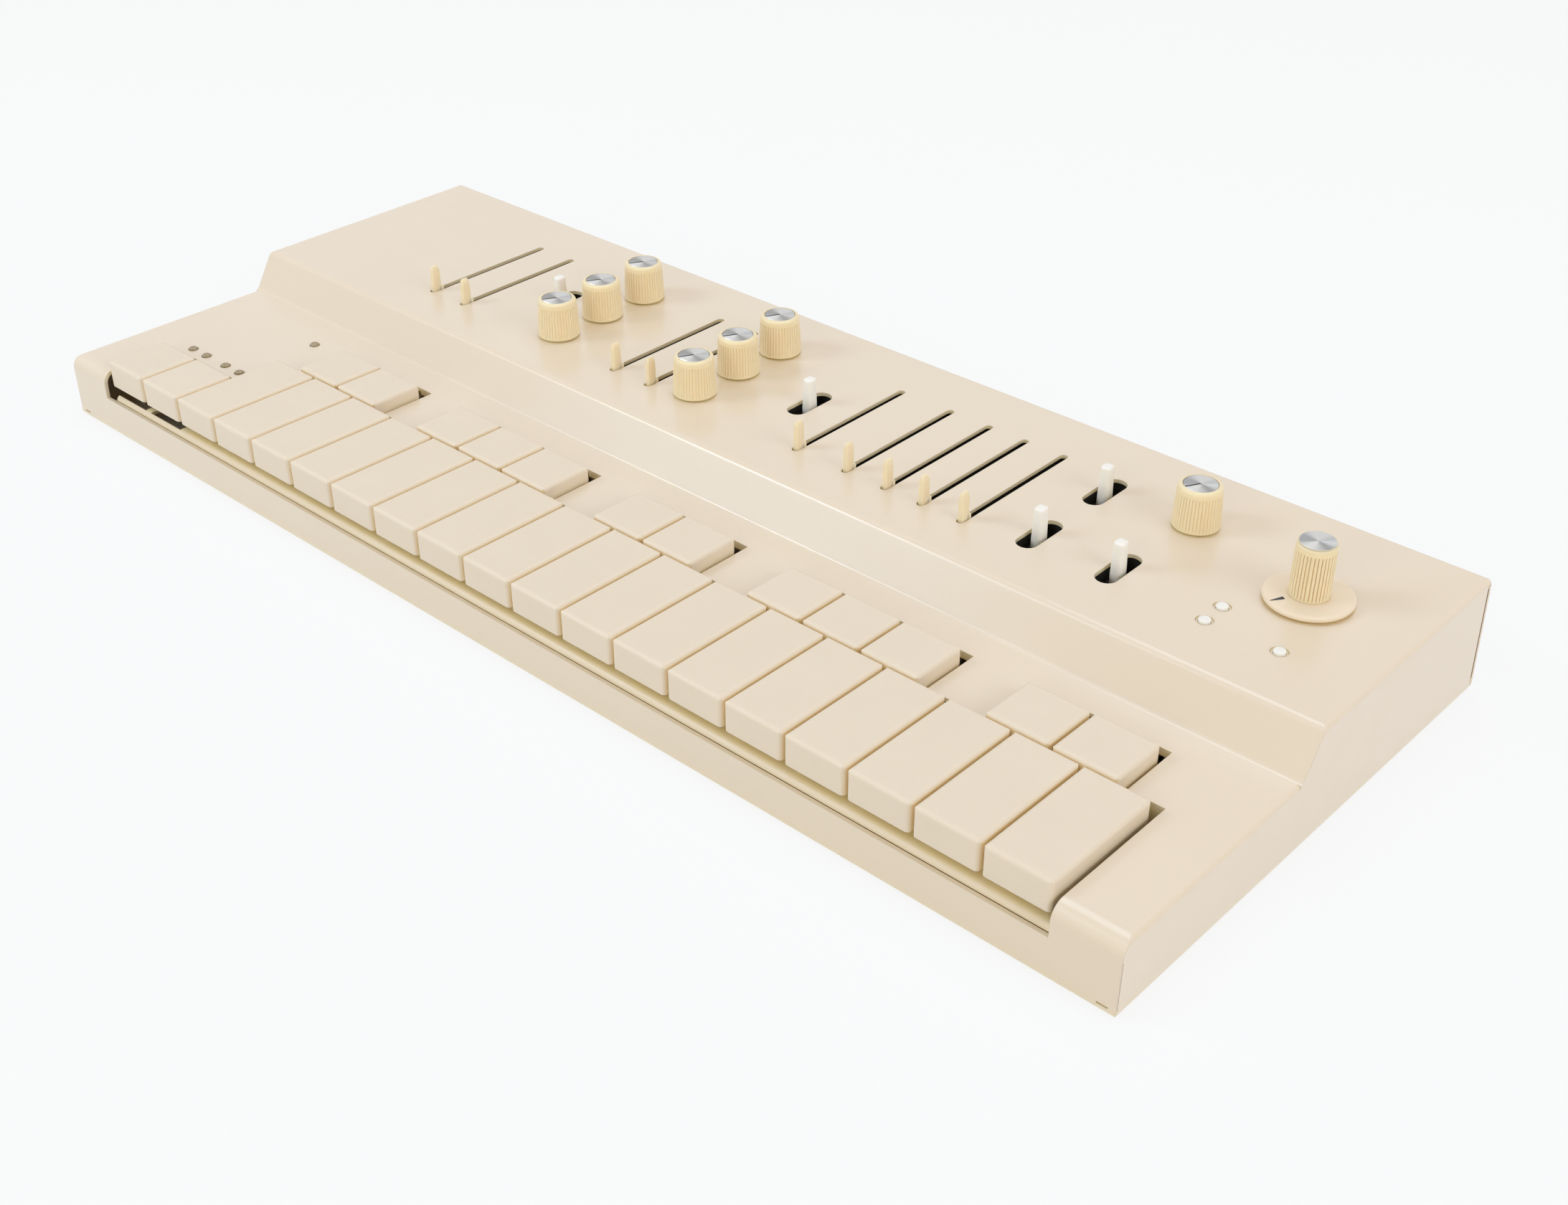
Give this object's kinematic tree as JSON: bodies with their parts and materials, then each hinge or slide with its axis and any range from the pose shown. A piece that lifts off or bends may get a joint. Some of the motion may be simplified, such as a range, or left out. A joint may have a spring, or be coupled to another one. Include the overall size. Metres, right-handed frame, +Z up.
{
  "type": "polyphonic synthesizer",
  "caption": "Cream desktop synthesizer in a folded metal case, with block keys on a low deck, and knobs, faders, toggles and push buttons on a raised panel.",
  "frame": {"origin": "on the surface the case stands on, under the middle of the case", "axes": "+X along the keyboard to the player's right, +Y from the player to the rear wall, +Z up"},
  "size_m": [0.42, 0.1707, 0.0534],
  "materials": {
    "case_paint": "satin",
    "steel": "satin",
    "electronics": "matte",
    "key_plastic": "satin",
    "ivory_plastic": "satin",
    "white_plastic": "gloss"
  },
  "bodies": {
    "case": {"top_cover": "case_paint", "base_pan": "case_paint", "key_rail": "steel", "circuit_boards": "electronics"},
    "function_key_1": {"function_key_1": "key_plastic"},
    "function_key_2": {"function_key_2": "key_plastic"},
    "natural_key_01": {"natural_key_01": "key_plastic"},
    "natural_key_02": {"natural_key_02": "key_plastic"},
    "natural_key_03": {"natural_key_03": "key_plastic"},
    "natural_key_04": {"natural_key_04": "key_plastic"},
    "natural_key_05": {"natural_key_05": "key_plastic"},
    "natural_key_06": {"natural_key_06": "key_plastic"},
    "natural_key_07": {"natural_key_07": "key_plastic"},
    "natural_key_08": {"natural_key_08": "key_plastic"},
    "natural_key_09": {"natural_key_09": "key_plastic"},
    "natural_key_10": {"natural_key_10": "key_plastic"},
    "natural_key_11": {"natural_key_11": "key_plastic"},
    "natural_key_12": {"natural_key_12": "key_plastic"},
    "natural_key_13": {"natural_key_13": "key_plastic"},
    "natural_key_14": {"natural_key_14": "key_plastic"},
    "natural_key_15": {"natural_key_15": "key_plastic"},
    "natural_key_16": {"natural_key_16": "key_plastic"},
    "natural_key_17": {"natural_key_17": "key_plastic"},
    "sharp_key_01": {"sharp_key_01": "key_plastic"},
    "sharp_key_02": {"sharp_key_02": "key_plastic"},
    "sharp_key_03": {"sharp_key_03": "key_plastic"},
    "sharp_key_04": {"sharp_key_04": "key_plastic"},
    "sharp_key_05": {"sharp_key_05": "key_plastic"},
    "sharp_key_06": {"sharp_key_06": "key_plastic"},
    "sharp_key_07": {"sharp_key_07": "key_plastic"},
    "sharp_key_08": {"sharp_key_08": "key_plastic"},
    "sharp_key_09": {"sharp_key_09": "key_plastic"},
    "sharp_key_10": {"sharp_key_10": "key_plastic"},
    "sharp_key_11": {"sharp_key_11": "key_plastic"},
    "sharp_key_12": {"sharp_key_12": "key_plastic"},
    "fader_1": {"fader_1": "ivory_plastic"},
    "fader_2": {"fader_2": "ivory_plastic"},
    "fader_3": {"fader_3": "ivory_plastic"},
    "fader_4": {"fader_4": "ivory_plastic"},
    "fader_5": {"fader_5": "ivory_plastic"},
    "fader_6": {"fader_6": "ivory_plastic"},
    "fader_7": {"fader_7": "ivory_plastic"},
    "fader_8": {"fader_8": "ivory_plastic"},
    "fader_9": {"fader_9": "ivory_plastic"},
    "knob_1": {"knob_1": "ivory_plastic"},
    "knob_2": {"knob_2": "ivory_plastic"},
    "knob_3": {"knob_3": "ivory_plastic"},
    "knob_4": {"knob_4": "ivory_plastic"},
    "knob_5": {"knob_5": "ivory_plastic"},
    "knob_6": {"knob_6": "ivory_plastic"},
    "knob_7": {"knob_7": "ivory_plastic"},
    "tuning_knob": {"tuning_knob": "ivory_plastic"},
    "toggle_1": {"toggle_1": "white_plastic"},
    "toggle_2": {"toggle_2": "white_plastic"},
    "toggle_3": {"toggle_3": "white_plastic"},
    "toggle_4": {"toggle_4": "white_plastic"},
    "toggle_5": {"toggle_5": "white_plastic"},
    "button_1": {"button_1": "white_plastic"},
    "button_2": {"button_2": "white_plastic"},
    "button_3": {"button_3": "white_plastic"}
  },
  "joints": [
    {"name": "function_key_1_press", "type": "hinge", "parent": "case", "child": "function_key_1", "pos_m": [-0.18, -0.01595, 0.01723], "axis": [1, 0, 0], "range_deg": [0, 2.21], "stiffness_Nm_per_rad": 0.8, "springref_deg": -1.72},
    {"name": "function_key_2_press", "type": "hinge", "parent": "case", "child": "function_key_2", "pos_m": [-0.16, -0.01595, 0.01723], "axis": [1, 0, 0], "range_deg": [0, 2.21], "stiffness_Nm_per_rad": 0.8, "springref_deg": -1.72},
    {"name": "natural_key_01_press", "type": "hinge", "parent": "case", "child": "natural_key_01", "pos_m": [-0.14, -0.01595, 0.01723], "axis": [1, 0, 0], "range_deg": [0, 2.21], "stiffness_Nm_per_rad": 0.8, "springref_deg": -1.72},
    {"name": "natural_key_02_press", "type": "hinge", "parent": "case", "child": "natural_key_02", "pos_m": [-0.12, -0.01595, 0.01723], "axis": [1, 0, 0], "range_deg": [0, 2.21], "stiffness_Nm_per_rad": 0.8, "springref_deg": -1.72},
    {"name": "natural_key_03_press", "type": "hinge", "parent": "case", "child": "natural_key_03", "pos_m": [-0.1, -0.01595, 0.01723], "axis": [1, 0, 0], "range_deg": [0, 2.21], "stiffness_Nm_per_rad": 0.8, "springref_deg": -1.72},
    {"name": "natural_key_04_press", "type": "hinge", "parent": "case", "child": "natural_key_04", "pos_m": [-0.08, -0.01595, 0.01723], "axis": [1, 0, 0], "range_deg": [0, 2.21], "stiffness_Nm_per_rad": 0.8, "springref_deg": -1.72},
    {"name": "natural_key_05_press", "type": "hinge", "parent": "case", "child": "natural_key_05", "pos_m": [-0.06, -0.01595, 0.01723], "axis": [1, 0, 0], "range_deg": [0, 2.21], "stiffness_Nm_per_rad": 0.8, "springref_deg": -1.72},
    {"name": "natural_key_06_press", "type": "hinge", "parent": "case", "child": "natural_key_06", "pos_m": [-0.04, -0.01595, 0.01723], "axis": [1, 0, 0], "range_deg": [0, 2.21], "stiffness_Nm_per_rad": 0.8, "springref_deg": -1.72},
    {"name": "natural_key_07_press", "type": "hinge", "parent": "case", "child": "natural_key_07", "pos_m": [-0.02, -0.01595, 0.01723], "axis": [1, 0, 0], "range_deg": [0, 2.21], "stiffness_Nm_per_rad": 0.8, "springref_deg": -1.72},
    {"name": "natural_key_08_press", "type": "hinge", "parent": "case", "child": "natural_key_08", "pos_m": [0, -0.01595, 0.01723], "axis": [1, 0, 0], "range_deg": [0, 2.21], "stiffness_Nm_per_rad": 0.8, "springref_deg": -1.72},
    {"name": "natural_key_09_press", "type": "hinge", "parent": "case", "child": "natural_key_09", "pos_m": [0.02, -0.01595, 0.01723], "axis": [1, 0, 0], "range_deg": [0, 2.21], "stiffness_Nm_per_rad": 0.8, "springref_deg": -1.72},
    {"name": "natural_key_10_press", "type": "hinge", "parent": "case", "child": "natural_key_10", "pos_m": [0.04, -0.01595, 0.01723], "axis": [1, 0, 0], "range_deg": [0, 2.21], "stiffness_Nm_per_rad": 0.8, "springref_deg": -1.72},
    {"name": "natural_key_11_press", "type": "hinge", "parent": "case", "child": "natural_key_11", "pos_m": [0.06, -0.01595, 0.01723], "axis": [1, 0, 0], "range_deg": [0, 2.21], "stiffness_Nm_per_rad": 0.8, "springref_deg": -1.72},
    {"name": "natural_key_12_press", "type": "hinge", "parent": "case", "child": "natural_key_12", "pos_m": [0.08, -0.01595, 0.01723], "axis": [1, 0, 0], "range_deg": [0, 2.21], "stiffness_Nm_per_rad": 0.8, "springref_deg": -1.72},
    {"name": "natural_key_13_press", "type": "hinge", "parent": "case", "child": "natural_key_13", "pos_m": [0.1, -0.01595, 0.01723], "axis": [1, 0, 0], "range_deg": [0, 2.21], "stiffness_Nm_per_rad": 0.8, "springref_deg": -1.72},
    {"name": "natural_key_14_press", "type": "hinge", "parent": "case", "child": "natural_key_14", "pos_m": [0.12, -0.01595, 0.01723], "axis": [1, 0, 0], "range_deg": [0, 2.21], "stiffness_Nm_per_rad": 0.8, "springref_deg": -1.72},
    {"name": "natural_key_15_press", "type": "hinge", "parent": "case", "child": "natural_key_15", "pos_m": [0.14, -0.01595, 0.01723], "axis": [1, 0, 0], "range_deg": [0, 2.21], "stiffness_Nm_per_rad": 0.8, "springref_deg": -1.72},
    {"name": "natural_key_16_press", "type": "hinge", "parent": "case", "child": "natural_key_16", "pos_m": [0.16, -0.01595, 0.01723], "axis": [1, 0, 0], "range_deg": [0, 2.21], "stiffness_Nm_per_rad": 0.8, "springref_deg": -1.72},
    {"name": "natural_key_17_press", "type": "hinge", "parent": "case", "child": "natural_key_17", "pos_m": [0.18, -0.01595, 0.01723], "axis": [1, 0, 0], "range_deg": [0, 2.21], "stiffness_Nm_per_rad": 0.8, "springref_deg": -1.72},
    {"name": "sharp_key_01_press", "type": "hinge", "parent": "case", "child": "sharp_key_01", "pos_m": [-0.13, -0.01595, 0.01723], "axis": [1, 0, 0], "range_deg": [0, 4.95], "stiffness_Nm_per_rad": 0.8, "springref_deg": -1.72},
    {"name": "sharp_key_02_press", "type": "hinge", "parent": "case", "child": "sharp_key_02", "pos_m": [-0.11, -0.01595, 0.01723], "axis": [1, 0, 0], "range_deg": [0, 4.95], "stiffness_Nm_per_rad": 0.8, "springref_deg": -1.72},
    {"name": "sharp_key_03_press", "type": "hinge", "parent": "case", "child": "sharp_key_03", "pos_m": [-0.07, -0.01595, 0.01723], "axis": [1, 0, 0], "range_deg": [0, 4.95], "stiffness_Nm_per_rad": 0.8, "springref_deg": -1.72},
    {"name": "sharp_key_04_press", "type": "hinge", "parent": "case", "child": "sharp_key_04", "pos_m": [-0.05, -0.01595, 0.01723], "axis": [1, 0, 0], "range_deg": [0, 4.95], "stiffness_Nm_per_rad": 0.8, "springref_deg": -1.72},
    {"name": "sharp_key_05_press", "type": "hinge", "parent": "case", "child": "sharp_key_05", "pos_m": [-0.03, -0.01595, 0.01723], "axis": [1, 0, 0], "range_deg": [0, 4.95], "stiffness_Nm_per_rad": 0.8, "springref_deg": -1.72},
    {"name": "sharp_key_06_press", "type": "hinge", "parent": "case", "child": "sharp_key_06", "pos_m": [0.01, -0.01595, 0.01723], "axis": [1, 0, 0], "range_deg": [0, 4.95], "stiffness_Nm_per_rad": 0.8, "springref_deg": -1.72},
    {"name": "sharp_key_07_press", "type": "hinge", "parent": "case", "child": "sharp_key_07", "pos_m": [0.03, -0.01595, 0.01723], "axis": [1, 0, 0], "range_deg": [0, 4.95], "stiffness_Nm_per_rad": 0.8, "springref_deg": -1.72},
    {"name": "sharp_key_08_press", "type": "hinge", "parent": "case", "child": "sharp_key_08", "pos_m": [0.07, -0.01595, 0.01723], "axis": [1, 0, 0], "range_deg": [0, 4.95], "stiffness_Nm_per_rad": 0.8, "springref_deg": -1.72},
    {"name": "sharp_key_09_press", "type": "hinge", "parent": "case", "child": "sharp_key_09", "pos_m": [0.09, -0.01595, 0.01723], "axis": [1, 0, 0], "range_deg": [0, 4.95], "stiffness_Nm_per_rad": 0.8, "springref_deg": -1.72},
    {"name": "sharp_key_10_press", "type": "hinge", "parent": "case", "child": "sharp_key_10", "pos_m": [0.11, -0.01595, 0.01723], "axis": [1, 0, 0], "range_deg": [0, 4.95], "stiffness_Nm_per_rad": 0.8, "springref_deg": -1.72},
    {"name": "sharp_key_11_press", "type": "hinge", "parent": "case", "child": "sharp_key_11", "pos_m": [0.15, -0.01595, 0.01723], "axis": [1, 0, 0], "range_deg": [0, 4.95], "stiffness_Nm_per_rad": 0.8, "springref_deg": -1.72},
    {"name": "sharp_key_12_press", "type": "hinge", "parent": "case", "child": "sharp_key_12", "pos_m": [0.17, -0.01595, 0.01723], "axis": [1, 0, 0], "range_deg": [0, 4.95], "stiffness_Nm_per_rad": 0.8, "springref_deg": -1.72},
    {"name": "fader_1_slide", "type": "slide", "parent": "case", "child": "fader_1", "axis": [0, 0.9999, 0.0168], "range_m": [0, 0.045]},
    {"name": "fader_2_slide", "type": "slide", "parent": "case", "child": "fader_2", "axis": [0, 0.9999, 0.0168], "range_m": [0, 0.045]},
    {"name": "fader_3_slide", "type": "slide", "parent": "case", "child": "fader_3", "axis": [0, 0.9999, 0.0168], "range_m": [0, 0.045]},
    {"name": "fader_4_slide", "type": "slide", "parent": "case", "child": "fader_4", "axis": [0, 0.9999, 0.0168], "range_m": [0, 0.045]},
    {"name": "fader_5_slide", "type": "slide", "parent": "case", "child": "fader_5", "axis": [0, 0.9999, 0.0168], "range_m": [0, 0.045]},
    {"name": "fader_6_slide", "type": "slide", "parent": "case", "child": "fader_6", "axis": [0, 0.9999, 0.0168], "range_m": [0, 0.045]},
    {"name": "fader_7_slide", "type": "slide", "parent": "case", "child": "fader_7", "axis": [0, 0.9999, 0.0168], "range_m": [0, 0.045]},
    {"name": "fader_8_slide", "type": "slide", "parent": "case", "child": "fader_8", "axis": [0, 0.9999, 0.0168], "range_m": [0, 0.045]},
    {"name": "fader_9_slide", "type": "slide", "parent": "case", "child": "fader_9", "axis": [0, 0.9999, 0.0168], "range_m": [0, 0.045]},
    {"name": "knob_1_turn", "type": "hinge", "parent": "case", "child": "knob_1", "pos_m": [-0.0819, 0.01848, 0.03505], "axis": [0, -0.0168, 0.9999], "range_deg": [-300, 0]},
    {"name": "knob_2_turn", "type": "hinge", "parent": "case", "child": "knob_2", "pos_m": [-0.0819, 0.03787, 0.03538], "axis": [0, -0.0168, 0.9999], "range_deg": [-300, 0]},
    {"name": "knob_3_turn", "type": "hinge", "parent": "case", "child": "knob_3", "pos_m": [-0.0819, 0.05727, 0.0357], "axis": [0, -0.0168, 0.9999], "range_deg": [-300, 0]},
    {"name": "knob_4_turn", "type": "hinge", "parent": "case", "child": "knob_4", "pos_m": [-0.0197, 0.01848, 0.03505], "axis": [0, -0.0168, 0.9999], "range_deg": [-300, 0]},
    {"name": "knob_5_turn", "type": "hinge", "parent": "case", "child": "knob_5", "pos_m": [-0.0197, 0.03787, 0.03538], "axis": [0, -0.0168, 0.9999], "range_deg": [-300, 0]},
    {"name": "knob_6_turn", "type": "hinge", "parent": "case", "child": "knob_6", "pos_m": [-0.0197, 0.05727, 0.0357], "axis": [0, -0.0168, 0.9999], "range_deg": [-300, 0]},
    {"name": "knob_7_turn", "type": "hinge", "parent": "case", "child": "knob_7", "pos_m": [0.13738, 0.05416, 0.03565], "axis": [0, -0.0168, 0.9999], "range_deg": [-300, 0]},
    {"name": "tuning_knob_turn", "type": "hinge", "parent": "case", "child": "tuning_knob", "pos_m": [0.179, 0.04158, 0.03544], "axis": [0, -0.0168, 0.9999], "range_deg": [-300, 0]},
    {"name": "toggle_1_rock", "type": "hinge", "parent": "case", "child": "toggle_1", "pos_m": [-0.10151, 0.03703, 0.02936], "axis": [1, 0, 0], "range_deg": [-25, 25]},
    {"name": "toggle_2_rock", "type": "hinge", "parent": "case", "child": "toggle_2", "pos_m": [0.01121, 0.03703, 0.02936], "axis": [1, 0, 0], "range_deg": [-25, 25]},
    {"name": "toggle_3_rock", "type": "hinge", "parent": "case", "child": "toggle_3", "pos_m": [0.10878, 0.05263, 0.02962], "axis": [1, 0, 0], "range_deg": [-25, 25]},
    {"name": "toggle_4_rock", "type": "hinge", "parent": "case", "child": "toggle_4", "pos_m": [0.10849, 0.02177, 0.02911], "axis": [1, 0, 0], "range_deg": [-25, 25]},
    {"name": "toggle_5_rock", "type": "hinge", "parent": "case", "child": "toggle_5", "pos_m": [0.13432, 0.0216, 0.0291], "axis": [1, 0, 0], "range_deg": [-25, 25]},
    {"name": "button_1_push", "type": "slide", "parent": "case", "child": "button_1", "axis": [0, 0.0168, -0.9999], "range_m": [0, 0.0005], "stiffness_N_per_m": 400, "springref_m": -0.0005},
    {"name": "button_2_push", "type": "slide", "parent": "case", "child": "button_2", "axis": [0, 0.0168, -0.9999], "range_m": [0, 0.0005], "stiffness_N_per_m": 400, "springref_m": -0.0005},
    {"name": "button_3_push", "type": "slide", "parent": "case", "child": "button_3", "axis": [0, 0.0168, -0.9999], "range_m": [0, 0.0005], "stiffness_N_per_m": 400, "springref_m": -0.0005}
  ]
}
